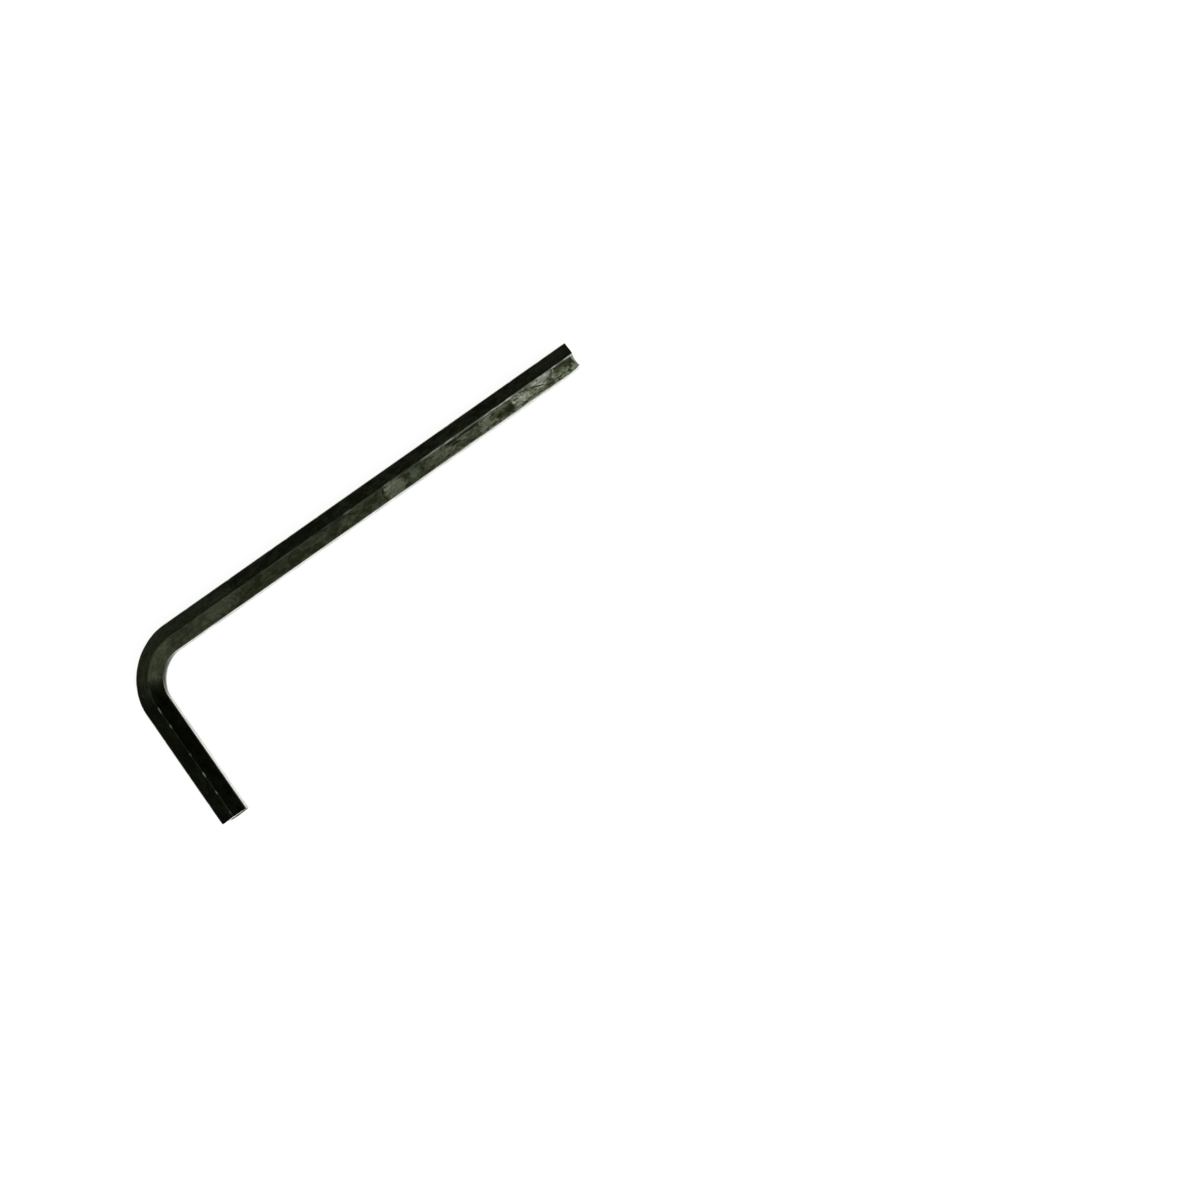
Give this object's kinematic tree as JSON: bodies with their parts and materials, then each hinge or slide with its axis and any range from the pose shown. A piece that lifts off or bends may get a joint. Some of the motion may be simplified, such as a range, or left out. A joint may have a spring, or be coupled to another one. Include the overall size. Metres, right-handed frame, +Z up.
{
  "type": "hex key",
  "caption": "L-shaped hexagonal key for socket-head screws, drawn bar bent cold to a right angle, with cropped square ends.",
  "frame": {"origin": "on the table, under the middle of the key's bounding box", "axes": "+X along the long arm towards its end face, -Y along the short arm towards its end face, +Z up from the table that the key lies on"},
  "size_m": [0.0764, 0.0272, 0.0045],
  "materials": {
    "black_oxide_steel": "black oxide on drawn steel, oiled satin, worn grey-green and patchy on the flats, paler along the ridges, with bare grey steel at the cropped ends"
  },
  "bodies": {
    "root": {"hex_key": "black_oxide_steel"}
  },
  "joints": []
}
